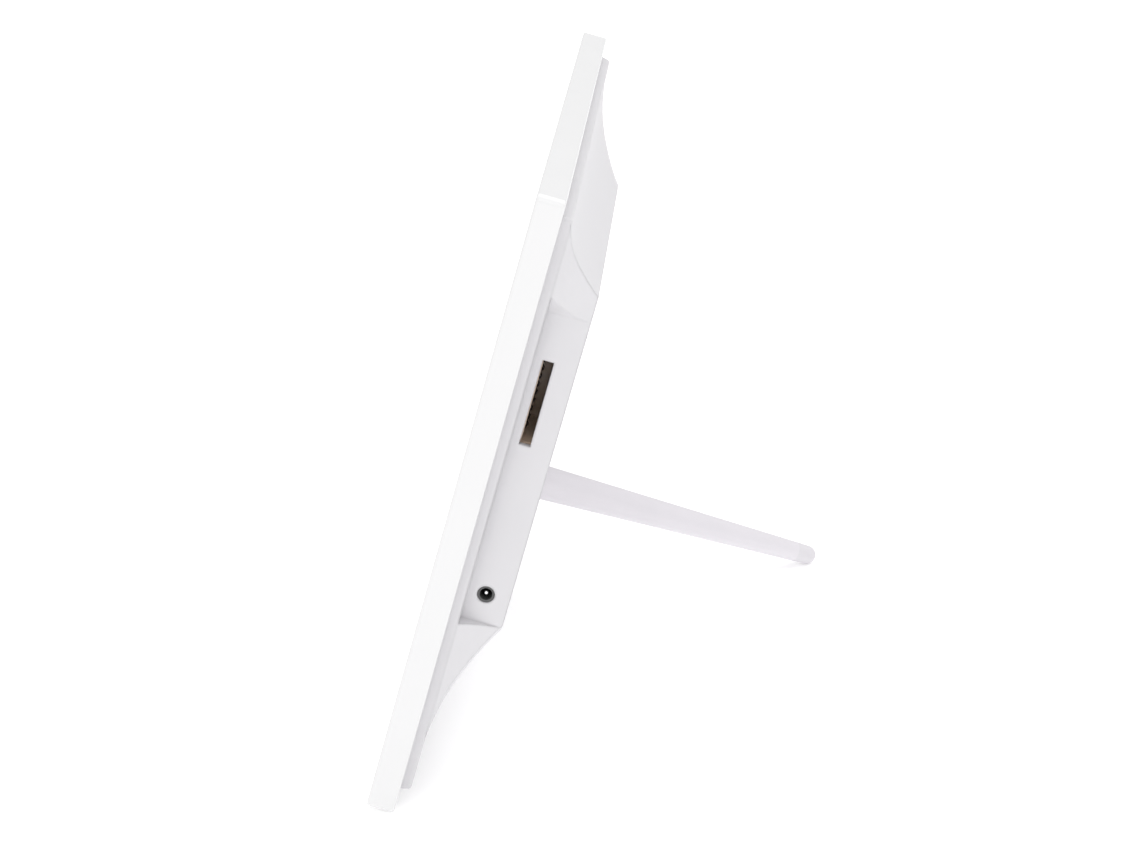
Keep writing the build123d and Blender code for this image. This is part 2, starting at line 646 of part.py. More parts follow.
with BuildPart() as power_switch:
    with BuildSketch(face(KEYS_BACK)):
        with Locations((POWER_X, POWER_UP)):
            Rectangle(4.0, 10.0)
    extrude(amount=-2.6)
    with BuildSketch(face(KEYS_BACK + 2.6)):
        with Locations((POWER_X, POWER_UP)):
            Rectangle(2.0, 2.4 + POWER_TRAVEL)
    extrude(amount=1.8, mode=Mode.SUBTRACT)
save(power_switch, "power_switch")

# ------------------------------------------------------------- flat cables
with BuildPart() as panel_cable:
    with BuildSketch(across(92.0)):
        with BuildLine():
            at_board, at_panel = BOARD_FRONT - 0.15, PLATE_FRONT + PANEL_SHEET + 0.7
            Polyline((60.0, at_board), (50.0, at_board), (44.0, at_panel), (30.0, at_panel))
            offset(amount=0.1)
        make_face()
    extrude(amount=20.0)
save(panel_cable, "panel_cable")

with BuildPart() as key_cable:
    with BuildSketch(across(126.0)):
        with BuildLine():
            at_keys, at_main = KEYS_FRONT - 0.2, BOARD_BACK + 0.2
            Polyline((22.0, at_keys), (30.0, at_keys), (33.0, at_main), (40.0, at_main))
            offset(amount=0.1)
        make_face()
    extrude(amount=8.0)
save(key_cable, "key_cable")

# ------------------------------------------------------------------- the peg
with BuildPart() as threaded_insert:
    with BuildSketch(PEG.offset(-0.2)):
        Circle(INSERT_R)
    extrude(amount=0.2 - INSERT_LENGTH)
    with BuildSketch(PEG.offset(-0.2)):
        Circle(STUD_R + THREAD_FIT)
    extrude(amount=0.2 - INSERT_LENGTH + 0.4, mode=Mode.SUBTRACT)
save(threaded_insert, "threaded_insert")

with BuildPart() as peg_washer:
    with BuildSketch(PEG.offset(0.05)):
        Circle(PEG_BASE_R + 0.6)
        Circle(STUD_R + 0.3, mode=Mode.SUBTRACT)
    extrude(amount=WASHER_T)
save(peg_washer, "peg_washer")

ROD_START = 0.05 + WASHER_T + 0.05
ROD_END = PEG_LENGTH - FOOT_LENGTH + FOOT_R
with BuildPart() as peg_rod:
    with BuildSketch(PEG.offset(ROD_START)):
        Circle(PEG_BASE_R)
    with BuildSketch(PEG.offset(ROD_END)):
        Circle(PEG_NECK_R)
    loft()
    fillet(peg_rod.faces().sort_by(Axis(PEG_ROOT, PEG_AXIS))[0].edges(), 0.5)
    with BuildSketch(PEG.offset(ROD_START)):
        Circle(STUD_R)
    extrude(amount=8.0, mode=Mode.SUBTRACT)
    with BuildSketch(PEG.offset(ROD_END)):
        Circle(2.0)
    extrude(amount=4.0)
save(peg_rod, "peg_rod")

# The stud is turned with a row of thread crests, one for each turn
with BuildPart() as peg_stud:
    with BuildSketch(Plane(origin=PEG_ROOT, x_dir=PEG.x_dir, z_dir=PEG.y_dir * -1)):
        with BuildLine():
            root = STUD_R - 0.45
            crests = []
            for turn in range(int(STUD_LENGTH / PITCH)):
                low = -STUD_LENGTH + turn * PITCH
                crests += [(root, low), (STUD_R, low + PITCH * 0.45), (STUD_R, low + PITCH * 0.55)]
            outline = [(0, -STUD_LENGTH), *crests, (root, 0), (STUD_R, ROD_START), (STUD_R, 8.0), (0, 8.0)]
            Polyline(*outline, close=True)
        make_face()
    revolve(axis=Axis(PEG_ROOT, PEG_AXIS))
save(peg_stud, "peg_stud")

with BuildPart() as peg_foot:
    with BuildSketch(PEG.offset(ROD_END)):
        Circle(PEG_NECK_R)
    with BuildSketch(PEG.offset(PEG_LENGTH)):
        Circle(FOOT_R)
    loft()
    with Locations(PEG.offset(PEG_LENGTH)):
        Sphere(FOOT_R)
    with BuildSketch(PEG.offset(ROD_END)):
        Circle(2.0)
    extrude(amount=4.0, mode=Mode.SUBTRACT)
save(peg_foot, "peg_foot")
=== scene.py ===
"""Finishes, fine pieces and a studio for a digital photo frame on its screw-in peg.

Laid out as an add-on: property groups hold what a user would change, one operator
makes each group of pieces, and a panel in the 3D view's sidebar lists them. Run as
a script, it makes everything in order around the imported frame.
"""

import json
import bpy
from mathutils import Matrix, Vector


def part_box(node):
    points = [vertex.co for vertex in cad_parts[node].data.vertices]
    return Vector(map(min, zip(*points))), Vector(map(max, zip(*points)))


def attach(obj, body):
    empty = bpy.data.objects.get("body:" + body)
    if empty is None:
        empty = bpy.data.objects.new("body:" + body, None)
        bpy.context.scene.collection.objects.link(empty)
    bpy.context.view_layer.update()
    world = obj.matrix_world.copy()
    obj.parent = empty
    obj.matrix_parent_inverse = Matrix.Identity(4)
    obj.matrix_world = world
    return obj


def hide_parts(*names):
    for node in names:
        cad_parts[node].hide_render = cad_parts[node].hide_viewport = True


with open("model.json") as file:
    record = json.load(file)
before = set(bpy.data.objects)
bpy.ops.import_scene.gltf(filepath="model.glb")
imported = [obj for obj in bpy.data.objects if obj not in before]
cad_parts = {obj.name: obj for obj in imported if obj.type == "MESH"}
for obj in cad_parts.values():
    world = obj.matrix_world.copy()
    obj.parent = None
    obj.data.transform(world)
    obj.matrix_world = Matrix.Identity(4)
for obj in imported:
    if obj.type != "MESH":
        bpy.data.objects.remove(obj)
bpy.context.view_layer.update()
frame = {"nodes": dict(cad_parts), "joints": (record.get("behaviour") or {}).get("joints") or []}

import bmesh
import bpy
from math import cos, pi, radians, sin
from mathutils import Matrix, Vector

bl_info = {
    "name": "Digital Photo Frame",
    "version": (1, 0, 0),
    "blender": (4, 5, 0),
    "location": "3D View > Sidebar > Photo Frame",
    "description": "Finishes, fine pieces and a studio for a leaning digital photo frame",
    "category": "Object",
}

NODES = frame["nodes"]
JOINTS = {joint["name"]: joint for joint in frame["joints"]}
RIGHT = Vector((1.0, 0.0, 0.0))
UP = Vector(JOINTS["power_slide"]["axis"]).normalized()  # up the leaning front face
FRONT = Vector(JOINTS["button_up_press"]["axis"]).normalized()  # out of the screen
BACK = -FRONT
KEYS = ("up", "down", "left", "right", "enter", "menu", "back")
KEY_TURNS = {"up": 0.0, "right": -90.0, "down": 180.0, "left": 90.0}

# Card connector springs, in metres. Each bend is a share of the connector's length
# inwards from its mouth, and a share of the springs' rise off the connector's floor.
SPRING_BENDS = (
    (0.06, 0.0), (0.11, 0.42), (0.19, 0.72), (0.27, 0.42), (0.36, 0.30), (0.75, 0.02), (1.0, 0.0))
SPRING_RISE = 0.0011
SPRING_GAUGE = 0.00018
SPRING_EDGE = 0.00004

# Rounded lip of the power inlet, in metres.
LIP_RADIUS = 0.00215
LIP_HALF_WIDTH = 0.00022
LIP_HALF_DEPTH = 0.0001
LIP_SINK = 0.00012
LIP_SIDES = 8
LIP_STEPS = 48

# Raised marks: metres, then shares of half a mark's size.
MARK_SINK = 0.00003
MARK_EDGE = 0.00003
RING_RADIUS = 0.9
RING_WIDTH = 0.3
MENU_ROWS = (-0.6, 0.0, 0.6)
MENU_BAR = 0.16
SINGLE_BAR = 0.18

# Speaker cloth, in metres; the hem is a share of the radius.
CLOTH_SINK = 0.0005
CLOTH_RISE = 0.0002
CLOTH_GAUGE = 0.00012
CLOTH_HEM = 0.12

# Soft panels: name, place, aim, width and power.
SOFT_PANELS = (
    ("key_panel", (1.6, -0.2, 1.1), (0.0, 0.0, 0.1), 1.4, 5.5),
    ("top_panel", (-0.3, 0.4, 2.2), (0.0, 0.0, 0.0), 2.2, 22.0),
)
ROOM_COLOUR = (0.985, 0.985, 0.99, 1.0)
ROOM_STRENGTH = 0.74


def middle(node):
    """Centre of a CAD node's box."""
    low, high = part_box(node)
    return (low + high) / 2


def turned(x_axis, y_axis, z_axis, origin):
    """Matrix that stands local axes along three directions at a place."""
    basis = Matrix((x_axis, y_axis, z_axis)).transposed().to_4x4()
    basis.translation = origin
    return basis


# ------------------------------------------------------------------ settings
class PhotoFrameFinish(bpy.types.PropertyGroup):
    """Colours and grains of the moulded and metal parts."""

    bezel_white: bpy.props.FloatVectorProperty(
        name="Bezel white", description="Colour of the glossy front bezel",
        subtype="COLOR", default=(0.835, 0.833, 0.835), min=0.0, max=1.0)
    cover_white: bpy.props.FloatVectorProperty(
        name="Cover white", description="Colour of the satin rear cover",
        subtype="COLOR", default=(0.712, 0.702, 0.72), min=0.0, max=1.0)
    peg_white: bpy.props.FloatVectorProperty(
        name="Peg white", description="Colour of the moulded peg",
        subtype="COLOR", default=(0.755, 0.73, 0.765), min=0.0, max=1.0)
    key_white: bpy.props.FloatVectorProperty(
        name="Key white", description="Colour of the buttons and the power slider",
        subtype="COLOR", default=(0.70, 0.70, 0.73), min=0.0, max=1.0)
    grain_size: bpy.props.FloatProperty(
        name="Grain size", description="Width of one pit of the moulded grain",
        subtype="DISTANCE", unit="LENGTH", default=0.00045, min=0.0001)
    edge_radius: bpy.props.FloatProperty(
        name="Edge radius", description="How round the cover's moulded edges look",
        subtype="DISTANCE", unit="LENGTH", default=0.0012, min=0.0)


class PhotoFrameDetails(bpy.types.PropertyGroup):
    """Sizes of the fine pieces."""

    spring_count: bpy.props.IntProperty(
        name="Contact springs", description="Number of springs in the card connector",
        default=9, min=1)
    spring_pitch: bpy.props.FloatProperty(
        name="Spring pitch", description="Distance between two contact springs",
        subtype="DISTANCE", unit="LENGTH", default=0.0025)
    spring_width: bpy.props.FloatProperty(
        name="Spring width", description="Width of one contact spring",
        subtype="DISTANCE", unit="LENGTH", default=0.0010)
    mark_size: bpy.props.FloatProperty(
        name="Mark size", description="Height of a raised mark on a button",
        subtype="DISTANCE", unit="LENGTH", default=0.0022)
    mark_rise: bpy.props.FloatProperty(
        name="Mark rise", description="How far a mark stands above its button",
        subtype="DISTANCE", unit="LENGTH", default=0.00012)
    cloth_radius: bpy.props.FloatProperty(
        name="Cloth radius", description="Radius of the cloth disc behind each speaker grille",
        subtype="DISTANCE", unit="LENGTH", default=0.0122)


class PhotoFrameStage(bpy.types.PropertyGroup):
    """Camera, floor and lights."""

    azimuth: bpy.props.FloatProperty(
        name="Azimuth", description="Direction that the camera looks in, 0 along +Y and 90 along -X",
        subtype="ANGLE", unit="ROTATION", default=radians(93.46))
    elevation: bpy.props.FloatProperty(
        name="Elevation", description="How far the camera looks down",
        subtype="ANGLE", unit="ROTATION", default=radians(19.33))
    camera_place: bpy.props.FloatVectorProperty(
        name="Camera place", description="Where the camera stands",
        subtype="TRANSLATION", unit="LENGTH", default=(0.817, 0.0342, 0.368))
    focal_length: bpy.props.FloatProperty(
        name="Focal length", description="Focal length on a 36 mm wide sensor, in millimetres",
        default=85.26, min=10.0)
    floor_size: bpy.props.FloatProperty(
        name="Floor size", description="Width of the floor sheet",
        subtype="DISTANCE", unit="LENGTH", default=8.0, min=1.0)
    floor_white: bpy.props.FloatVectorProperty(
        name="Floor white", description="Colour of the floor",
        subtype="COLOR", default=(0.9, 0.9, 0.9), min=0.0, max=1.0)
    floor_glow: bpy.props.FloatProperty(
        name="Floor glow", description="Light that the lit table gives off itself",
        default=0.28, min=0.0)


# ----------------------------------------------------------------- materials
def new_finish(name):
    """Empty material with a Principled shader; returns material, tree, shader."""
    material = bpy.data.materials.new(name)
    material.use_nodes = True
    tree = material.node_tree
    shader = tree.nodes["Principled BSDF"]
    return material, tree, shader


def noise(tree, scale, detail=2.0, roughness=0.5, stretch=None):
    """Noise in object coordinates, in cells per metre, closer along Y if stretched."""
    place = tree.nodes.new("ShaderNodeTexCoord")
    texture = tree.nodes.new("ShaderNodeTexNoise")
    texture.inputs["Scale"].default_value = scale
    texture.inputs["Detail"].default_value = detail
    texture.inputs["Roughness"].default_value = roughness
    vector = place.outputs["Object"]
    if stretch is not None:
        mapping = tree.nodes.new("ShaderNodeMapping")
        mapping.inputs["Scale"].default_value = (1.0, stretch, 1.0)
        tree.links.new(vector, mapping.inputs["Vector"])
        vector = mapping.outputs["Vector"]
    tree.links.new(vector, texture.inputs["Vector"])
    return texture


def spread(tree, value, low, high):
    """Map a 0 to 1 value onto a range."""
    mapped = tree.nodes.new("ShaderNodeMapRange")
    mapped.inputs["To Min"].default_value = low
    mapped.inputs["To Max"].default_value = high
    tree.links.new(value, mapped.inputs["Value"])
    return mapped.outputs["Result"]


def tint(tree, value, dark, light):
    """Mix two colours by a 0 to 1 value."""
    ramp = tree.nodes.new("ShaderNodeValToRGB")
    ramp.color_ramp.elements[0].color = (*dark, 1.0)
    ramp.color_ramp.elements[1].color = (*light, 1.0)
    ramp.color_ramp.elements[0].position = 0.3
    ramp.color_ramp.elements[1].position = 0.7
    tree.links.new(value, ramp.inputs["Fac"])
    return ramp.outputs["Color"]


def relief(tree, shader, height, strength, distance, edge=0.0):
    """Bump from a height value, over edges that look rounded to a radius."""
    bump = tree.nodes.new("ShaderNodeBump")
    if edge > 0.0:
        rounded = tree.nodes.new("ShaderNodeBevel")
        rounded.samples = 6
        rounded.inputs["Radius"].default_value = edge
        tree.links.new(rounded.outputs["Normal"], bump.inputs["Normal"])
    bump.inputs["Strength"].default_value = strength
    bump.inputs["Distance"].default_value = distance
    tree.links.new(height, bump.inputs["Height"])
    tree.links.new(bump.outputs["Normal"], shader.inputs["Normal"])


def shade(colour, factor):
    """A colour made darker or lighter."""
    return tuple(min(1.0, part * factor) for part in colour)


def moulded(name, colour, rough, grain, depth, coat=0.0, mottle=0.97, edge=0.0):
    """Moulded plastic: fine pits, uneven gloss and a faint mottle in the colour."""
    material, tree, shader = new_finish(name)
    broad = noise(tree, 55.0, 4.0, 0.6)
    colours = tint(tree, broad.outputs["Fac"], shade(colour, mottle), colour)
    tree.links.new(colours, shader.inputs["Base Color"])
    gloss = spread(tree, broad.outputs["Fac"], rough * 0.85, rough * 1.15)
    tree.links.new(gloss, shader.inputs["Roughness"])
    pits = noise(tree, 1.0 / grain, 3.0, 0.55)
    relief(tree, shader, pits.outputs["Fac"], 0.35, depth, edge)
    shader.inputs["IOR"].default_value = 1.52
    shader.inputs["Coat Weight"].default_value = coat
    shader.inputs["Coat Roughness"].default_value = 0.12
    return material


def metal(name, colour, rough, stretch=1.0, depth=0.00001, plate=1.0):
    """Plated or tinned sheet: drawn streaks, uneven gloss and a faint stain."""
    material, tree, shader = new_finish(name)
    stain = noise(tree, 140.0, 5.0, 0.6)
    colours = tint(tree, stain.outputs["Fac"], shade(colour, 0.82), colour)
    tree.links.new(colours, shader.inputs["Base Color"])
    tree.links.new(spread(tree, stain.outputs["Fac"], rough * 0.8, rough * 1.3), shader.inputs["Roughness"])
    streaks = noise(tree, 2200.0, stretch=stretch)
    relief(tree, shader, streaks.outputs["Fac"], 0.3, depth)
    shader.inputs["Metallic"].default_value = plate
    return material


def clear(name, colour, rough):
    """Clear sheet with a very slight waviness."""
    material, tree, shader = new_finish(name)
    waves = noise(tree, 30.0, 2.0, 0.4)
    colours = tint(tree, waves.outputs["Fac"], shade(colour, 0.985), colour)
    tree.links.new(colours, shader.inputs["Base Color"])
    gloss = spread(tree, waves.outputs["Fac"], rough * 0.7, rough * 1.3)
    tree.links.new(gloss, shader.inputs["Roughness"])
    relief(tree, shader, waves.outputs["Fac"], 0.1, 0.00001)
    shader.inputs["Transmission Weight"].default_value = 1.0
    shader.inputs["IOR"].default_value = 1.49
    return material


def woven(name, colour, thread):
    """Fine acoustic cloth: crossing threads in bump and colour."""
    material, tree, shader = new_finish(name)
    heights = []
    for direction in ("X", "Z"):
        place = tree.nodes.new("ShaderNodeTexCoord")
        wave = tree.nodes.new("ShaderNodeTexWave")
        wave.wave_type = "BANDS"
        wave.bands_direction = direction
        wave.inputs["Scale"].default_value = 1.0 / (thread * 6.28)
        wave.inputs["Distortion"].default_value = 0.6
        tree.links.new(place.outputs["Object"], wave.inputs["Vector"])
        heights.append(wave.outputs["Fac"])
    join = tree.nodes.new("ShaderNodeMath")
    join.operation = "MULTIPLY"
    tree.links.new(heights[0], join.inputs[0])
    tree.links.new(heights[1], join.inputs[1])
    colours = tint(tree, join.outputs["Value"], shade(colour, 0.5), colour)
    tree.links.new(colours, shader.inputs["Base Color"])
    relief(tree, shader, join.outputs["Value"], 0.6, 0.0001)
    shader.inputs["Roughness"].default_value = 0.85
    return material


def circuit(name, mask, track):
    """Board lacquer with lighter tracks in a maze of cells."""
    material, tree, shader = new_finish(name)
    place = tree.nodes.new("ShaderNodeTexCoord")
    cells = tree.nodes.new("ShaderNodeTexVoronoi")
    cells.distance = "CHEBYCHEV"
    cells.feature = "F1"
    cells.inputs["Scale"].default_value = 420.0
    tree.links.new(place.outputs["Object"], cells.inputs["Vector"])
    tree.links.new(tint(tree, cells.outputs["Distance"], mask, track), shader.inputs["Base Color"])
    relief(tree, shader, cells.outputs["Distance"], 0.3, 0.00005)
    shader.inputs["Roughness"].default_value = 0.35
    shader.inputs["Coat Weight"].default_value = 0.3
    return material


def piece(name, shape, material, body="root"):
    """Turn a finished bmesh into a piece that rides on a body."""
    bmesh.ops.remove_doubles(shape, verts=shape.verts, dist=1e-7)
    bmesh.ops.recalc_face_normals(shape, faces=shape.faces)
    mesh = bpy.data.meshes.new(name)
    shape.to_mesh(mesh)
    shape.free()
    mesh.materials.append(material)
    part = bpy.data.objects.new(name, mesh)
    bpy.context.scene.collection.objects.link(part)
    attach(part, body)
    return part


def soften(part, width):
    """Round the sharp edges of a small piece."""
    bevel = part.modifiers.new("soft_edges", "BEVEL")
    bevel.width = width
    bevel.segments = 2
    bevel.limit_method = "ANGLE"


def wear(material, name):
    """Put a material in every slot of a CAD node."""
    for slot in NODES[name].material_slots:
        slot.material = material


# ----------------------------------------------------------------- operators
class PHOTOFRAME_OT_housing_finish(bpy.types.Operator):
    """Give the bezel, rear cover, peg and keys their moulded white finishes."""

    bl_idname = "photoframe.housing_finish"
    bl_label = "Housing finish"

    def execute(self, context):
        look = context.scene.photoframe_finish
        grain = look.grain_size
        bezel = moulded("bezel_gloss", look.bezel_white, 0.22, grain * 3, 0.00002, coat=0.35, mottle=0.99)
        edge = look.edge_radius
        cover = moulded("cover_satin", look.cover_white, 0.46, grain, 0.00006, mottle=0.975, edge=edge)
        peg = moulded("peg_satin", look.peg_white, 0.38, grain, 0.00004)
        keys = moulded("key_satin", look.key_white, 0.35, grain, 0.00003, coat=0.1)
        wear(bezel, "front_bezel")
        wear(cover, "rear_cover")
        wear(peg, "peg_rod")
        wear(keys, "power_slider")
        for key in KEYS:
            wear(keys, f"button_{key}")
        return {"FINISHED"}


class PHOTOFRAME_OT_display_finish(bpy.types.Operator):
    """Give the lens, mat, gasket and panel layers their finishes."""

    bl_idname = "photoframe.display_finish"
    bl_label = "Display finish"

    def execute(self, context):
        wear(clear("lens_acrylic", (0.96, 0.97, 0.98), 0.03), "screen_lens")
        wear(metal("mat_satin_silver", (0.74, 0.75, 0.77), 0.45, 8.0), "screen_mat")
        wear(moulded("gasket_foam", (0.03, 0.03, 0.03), 0.9, 0.0006, 0.0002), "foam_gasket")
        wear(metal("panel_sheet", (0.62, 0.63, 0.65), 0.3, 20.0), "panel_frame")
        wear(metal("back_plate_sheet", (0.60, 0.61, 0.63), 0.35, 20.0), "panel_back_plate")
        glass = moulded("dark_cell_glass", (0.012, 0.014, 0.019), 0.08, 0.0003, 0.000003, coat=0.6)
        wear(glass, "lcd_glass")
        wear(moulded("frosted_guide", (0.80, 0.82, 0.83), 0.5, 0.0008, 0.00003), "light_guide")
        return {"FINISHED"}


class PHOTOFRAME_OT_inner_finish(bpy.types.Operator):
    """Give the boards, speakers, cables and connectors their finishes."""

    bl_idname = "photoframe.inner_finish"
    bl_label = "Inner parts finish"

    def execute(self, context):
        board = circuit("board_lacquer", (0.012, 0.085, 0.035), (0.03, 0.20, 0.09))
        nylon = moulded("filled_nylon", (0.022, 0.022, 0.024), 0.5, 0.0003, 0.00003, mottle=0.8)
        chips = moulded("chip_epoxy", (0.03, 0.03, 0.032), 0.55, 0.0002, 0.00002, mottle=0.85)
        film = moulded("polyimide_film", (0.52, 0.27, 0.06), 0.25, 0.002, 0.00001, coat=0.4, mottle=0.9)
        zinc = metal("zinc_plate", (0.50, 0.51, 0.53), 0.3)
        wear(board, "main_board")
        wear(board, "button_board")
        wear(chips, "board_chips")
        for name in ("battery_holder", "tact_switches", "power_switch"):
            wear(nylon, name)
        jack = moulded("jack_nylon", (0.085, 0.085, 0.085), 0.4, 0.0003, 0.00002, coat=0.2, mottle=0.85)
        wear(jack, "dc_jack_body")
        base = moulded("connector_nylon", (0.74, 0.60, 0.48), 0.35, 0.0003, 0.00003, coat=0.3)
        wear(base, "card_connector_base")
        wear(metal("tinned_shell", (0.92, 0.82, 0.73), 0.45, 6.0, plate=0.2), "card_connector_shell")
        wear(metal("battery_can", (0.68, 0.68, 0.70), 0.22, 3.0), "clock_battery")
        wear(metal("nickel_pin", (0.90, 0.90, 0.90), 0.10), "dc_jack_pin")
        wear(metal("knurled_brass", (0.66, 0.45, 0.18), 0.3, 4.0), "threaded_insert")
        wear(metal("stud_zinc", (0.56, 0.57, 0.60), 0.25), "peg_stud")
        for name in ("board_screws", "key_board_screws", "cover_screws"):
            wear(zinc, name)
        for side in ("left", "right"):
            wear(metal(f"speaker_basket_{side}", (0.36, 0.36, 0.38), 0.4), f"speaker_frame_{side}")
            wear(woven(f"cone_paper_{side}", (0.05, 0.05, 0.055), 0.0005), f"speaker_cone_{side}")
        wear(film, "panel_cable")
        wear(film, "key_cable")
        wear(moulded("washer_rubber", (0.40, 0.40, 0.42), 0.75, 0.0003, 0.00004), "peg_washer")
        wear(moulded("foot_elastomer", (0.72, 0.70, 0.73), 0.55, 0.0004, 0.00005), "peg_foot")
        return {"FINISHED"}


class PHOTOFRAME_OT_card_springs(bpy.types.Operator):
    """Make the bent contact springs inside the card slot."""

    bl_idname = "photoframe.card_springs"
    bl_label = "Card contact springs"

    def execute(self, context):
        sizes = context.scene.photoframe_details
        low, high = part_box("card_contacts")
        centre = middle("card_contacts")
        run = high.x - low.x
        springs = bmesh.new()
        for number in range(sizes.spring_count):
            shift = (number - (sizes.spring_count - 1) / 2) * sizes.spring_pitch
            base = centre + UP * (shift - sizes.spring_width / 2) - BACK * (SPRING_RISE / 2)
            line = []
            for along, proud in SPRING_BENDS:
                spot = base + RIGHT * (run / 2 - along * run) + BACK * (proud * SPRING_RISE)
                line.append(springs.verts.new(spot))
            edges = [springs.edges.new(pair) for pair in zip(line, line[1:])]
            grown = bmesh.ops.extrude_edge_only(springs, edges=edges)["geom"]
            far = [item for item in grown if isinstance(item, bmesh.types.BMVert)]
            bmesh.ops.translate(springs, verts=far, vec=UP * sizes.spring_width)
        bmesh.ops.solidify(springs, geom=springs.faces[:], thickness=SPRING_GAUGE)
        bronze = metal("sprung_bronze", (0.10, 0.085, 0.07), 0.35, plate=0.5)
        part = piece("contact_springs", springs, bronze)
        soften(part, SPRING_EDGE)
        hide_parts("card_contacts")
        return {"FINISHED"}


class PHOTOFRAME_OT_jack_lip(bpy.types.Operator):
    """Make the rounded lip round the power inlet."""

    bl_idname = "photoframe.jack_lip"
    bl_label = "Power inlet lip"

    def execute(self, context):
        pin = middle("dc_jack_pin")
        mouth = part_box("dc_jack_body")[1].x
        ring = bmesh.new()
        profile = []
        for side in range(LIP_SIDES):
            turn = 2 * pi * side / LIP_SIDES
            spot = Vector((mouth - LIP_SINK + LIP_HALF_DEPTH * cos(turn), pin.y, pin.z))
            spot += UP * (LIP_RADIUS + LIP_HALF_WIDTH * sin(turn))
            profile.append(ring.verts.new(spot))
        edges = [ring.edges.new(pair) for pair in zip(profile, profile[1:] + profile[:1])]
        bmesh.ops.spin(
            ring, geom=profile + edges, cent=pin, axis=RIGHT, angle=2 * pi, steps=LIP_STEPS, use_merge=True)
        nylon = moulded("inlet_nylon", (0.075, 0.075, 0.078), 0.3, 0.0002, 0.00001, coat=0.3)
        part = piece("inlet_lip", ring, nylon)
        for face in part.data.polygons:
            face.use_smooth = True
        return {"FINISHED"}


class PHOTOFRAME_OT_key_marks(bpy.types.Operator):
    """Make the small raised marks on the buttons."""

    bl_idname = "photoframe.key_marks"
    bl_label = "Button marks"

    def execute(self, context):
        sizes = context.scene.photoframe_details
        grey = moulded("mark_grey", (0.30, 0.30, 0.32), 0.4, 0.0003, 0.00002)
        for key in KEYS:
            node = f"button_{key}"
            centre = middle(node)
            mesh = NODES[node].data
            top = max((vert.co - centre).dot(BACK) for vert in mesh.vertices)
            axes = turned(-RIGHT, UP, BACK, centre + BACK * (top - MARK_SINK))
            shape = bmesh.new()
            size = sizes.mark_size / 2
            if key in KEY_TURNS:
                bmesh.ops.create_circle(shape, cap_ends=True, segments=3, radius=size)
                spin = Matrix.Rotation(radians(-KEY_TURNS[key]), 4, "Z")
                bmesh.ops.transform(shape, matrix=spin, verts=shape.verts)
            elif key == "enter":
                bmesh.ops.create_circle(shape, cap_ends=True, segments=40, radius=size * RING_RADIUS)
                bmesh.ops.inset_region(
                    shape, faces=shape.faces[:], thickness=size * RING_WIDTH, use_boundary=True)
                hub = max(shape.faces, key=lambda face: len(face.verts))
                bmesh.ops.delete(shape, geom=[hub], context="FACES_ONLY")
            else:
                rows, squeeze = (MENU_ROWS, MENU_BAR) if key == "menu" else ((0.0,), SINGLE_BAR)
                for row in rows:
                    bar = bmesh.ops.create_grid(shape, x_segments=1, y_segments=1, size=size)["verts"]
                    bmesh.ops.scale(shape, vec=(1.0, squeeze, 1.0), verts=bar)
                    bmesh.ops.translate(shape, vec=(0.0, row * size, 0.0), verts=bar)
            walls = bmesh.ops.extrude_face_region(shape, geom=shape.faces[:])["geom"]
            top_verts = [item for item in walls if isinstance(item, bmesh.types.BMVert)]
            bmesh.ops.translate(shape, vec=(0.0, 0.0, sizes.mark_rise), verts=top_verts)
            bmesh.ops.transform(shape, matrix=axes, verts=shape.verts)
            part = piece(f"mark_{key}", shape, grey, node)
            soften(part, MARK_EDGE)
        return {"FINISHED"}


class PHOTOFRAME_OT_speaker_cloth(bpy.types.Operator):
    """Make the cloth discs behind the speaker grilles."""

    bl_idname = "photoframe.speaker_cloth"
    bl_label = "Speaker cloth"

    def execute(self, context):
        sizes = context.scene.photoframe_details
        cloth = woven("acoustic_cloth", (0.10, 0.10, 0.11), 0.00035)
        for side in ("left", "right"):
            node = f"speaker_frame_{side}"
            centre = middle(node)
            rear = max((vert.co - centre).dot(BACK) for vert in NODES[node].data.vertices)
            axes = turned(-RIGHT, UP, BACK, centre + BACK * (rear - CLOTH_SINK))
            disc = bmesh.new()
            bmesh.ops.create_circle(disc, cap_ends=True, segments=64, radius=sizes.cloth_radius)
            bmesh.ops.inset_region(
                disc, faces=disc.faces[:], thickness=sizes.cloth_radius * CLOTH_HEM, use_boundary=True)
            raised = [vert for vert in disc.verts if vert.co.length < sizes.cloth_radius * 0.95]
            bmesh.ops.translate(disc, verts=raised, vec=(0.0, 0.0, CLOTH_RISE))
            bmesh.ops.transform(disc, matrix=axes, verts=disc.verts)
            bmesh.ops.solidify(disc, geom=disc.faces[:], thickness=CLOTH_GAUGE)
            part = piece(f"speaker_cloth_{side}", disc, cloth)
        return {"FINISHED"}


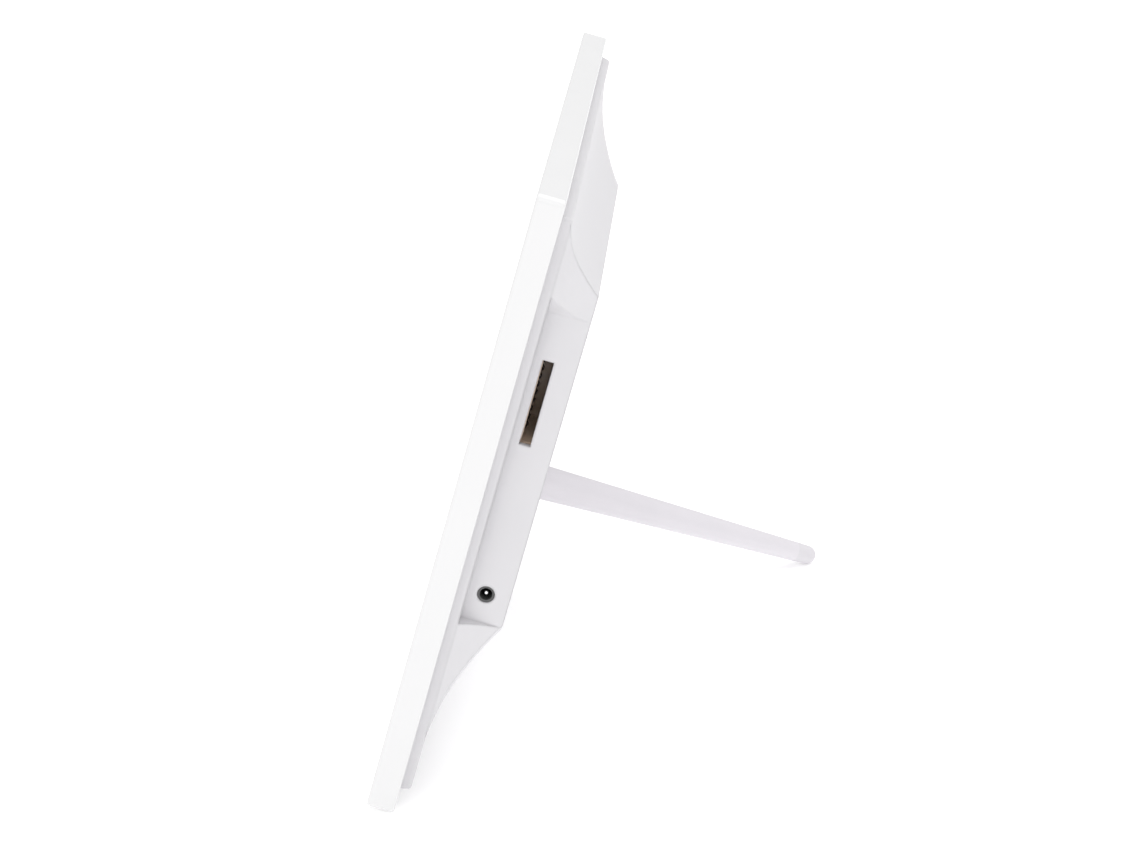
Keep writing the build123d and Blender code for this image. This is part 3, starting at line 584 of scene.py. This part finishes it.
class PHOTOFRAME_OT_studio(bpy.types.Operator):
    """Set the floor, the soft lights and the camera."""

    bl_idname = "photoframe.studio"
    bl_label = "Studio"

    def execute(self, context):
        stage = context.scene.photoframe_stage
        sheet = bmesh.new()
        bmesh.ops.create_grid(sheet, x_segments=8, y_segments=8, size=stage.floor_size / 2)
        mesh = bpy.data.meshes.new("floor")
        sheet.to_mesh(mesh)
        sheet.free()
        floor = bpy.data.objects.new("floor", mesh)
        context.scene.collection.objects.link(floor)
        material, tree, shader = new_finish("floor_paper")
        soft = noise(tree, 12.0)
        colours = tint(tree, soft.outputs["Fac"], shade(stage.floor_white, 0.995), stage.floor_white)
        tree.links.new(colours, shader.inputs["Base Color"])
        shader.inputs["Roughness"].default_value = 0.9
        shader.inputs["Specular IOR Level"].default_value = 0.1
        shader.inputs["Emission Color"].default_value = (1.0, 1.0, 1.0, 1.0)
        shader.inputs["Emission Strength"].default_value = stage.floor_glow
        mesh.materials.append(material)
        self.lights(context)
        camera = bpy.data.objects.new("camera", bpy.data.cameras.new("camera"))
        camera.data.lens = stage.focal_length
        camera.data.sensor_width = 36.0
        camera.data.clip_start = 0.01
        camera.location = stage.camera_place
        camera.rotation_euler = (pi / 2 - stage.elevation, 0.0, stage.azimuth)
        context.scene.collection.objects.link(camera)
        context.scene.camera = camera
        context.scene.view_settings.view_transform = "Standard"
        return {"FINISHED"}

    def lights(self, context):
        """A bright even room, a wide panel over the camera's side and one overhead."""
        world = bpy.data.worlds.new("studio")
        world.use_nodes = True
        room = world.node_tree.nodes["Background"]
        room.inputs["Color"].default_value = ROOM_COLOUR
        room.inputs["Strength"].default_value = ROOM_STRENGTH
        context.scene.world = world
        for name, place, aim, size, power in SOFT_PANELS:
            lamp = bpy.data.lights.new(name, "AREA")
            lamp.size = size
            lamp.energy = power
            panel = bpy.data.objects.new(name, lamp)
            panel.location = place
            look = Vector(aim) - Vector(place)
            panel.rotation_euler = look.to_track_quat("-Z", "Y").to_euler()
            context.scene.collection.objects.link(panel)


class PHOTOFRAME_PT_panel(bpy.types.Panel):
    """Everything that this file makes."""

    bl_idname = "PHOTOFRAME_PT_panel"
    bl_label = "Photo Frame"
    bl_space_type = "VIEW_3D"
    bl_region_type = "UI"
    bl_category = "Photo Frame"

    def draw(self, context):
        layout = self.layout
        for maker in MAKERS:
            layout.operator(maker.bl_idname)
        scene = context.scene
        for settings in (scene.photoframe_finish, scene.photoframe_details, scene.photoframe_stage):
            column = layout.column(align=True)
            for name in settings.__annotations__:
                column.prop(settings, name)


MAKERS = (
    PHOTOFRAME_OT_housing_finish,
    PHOTOFRAME_OT_display_finish,
    PHOTOFRAME_OT_inner_finish,
    PHOTOFRAME_OT_card_springs,
    PHOTOFRAME_OT_jack_lip,
    PHOTOFRAME_OT_key_marks,
    PHOTOFRAME_OT_speaker_cloth,
    PHOTOFRAME_OT_studio,
)
CLASSES = (PhotoFrameFinish, PhotoFrameDetails, PhotoFrameStage, *MAKERS, PHOTOFRAME_PT_panel)


def register():
    """Add the settings, operators and panel to Blender."""
    for item in CLASSES:
        bpy.utils.register_class(item)
    bpy.types.Scene.photoframe_finish = bpy.props.PointerProperty(type=PhotoFrameFinish)
    bpy.types.Scene.photoframe_details = bpy.props.PointerProperty(type=PhotoFrameDetails)
    bpy.types.Scene.photoframe_stage = bpy.props.PointerProperty(type=PhotoFrameStage)


def unregister():
    """Take the settings, operators and panel out of Blender."""
    del bpy.types.Scene.photoframe_stage
    del bpy.types.Scene.photoframe_details
    del bpy.types.Scene.photoframe_finish
    for item in reversed(CLASSES):
        bpy.utils.unregister_class(item)


def main():
    """Register and make every piece in order."""
    register()
    for maker in MAKERS:
        group, name = maker.bl_idname.split(".")
        getattr(getattr(bpy.ops, group), name)()


if __name__ == "__main__":
    main()
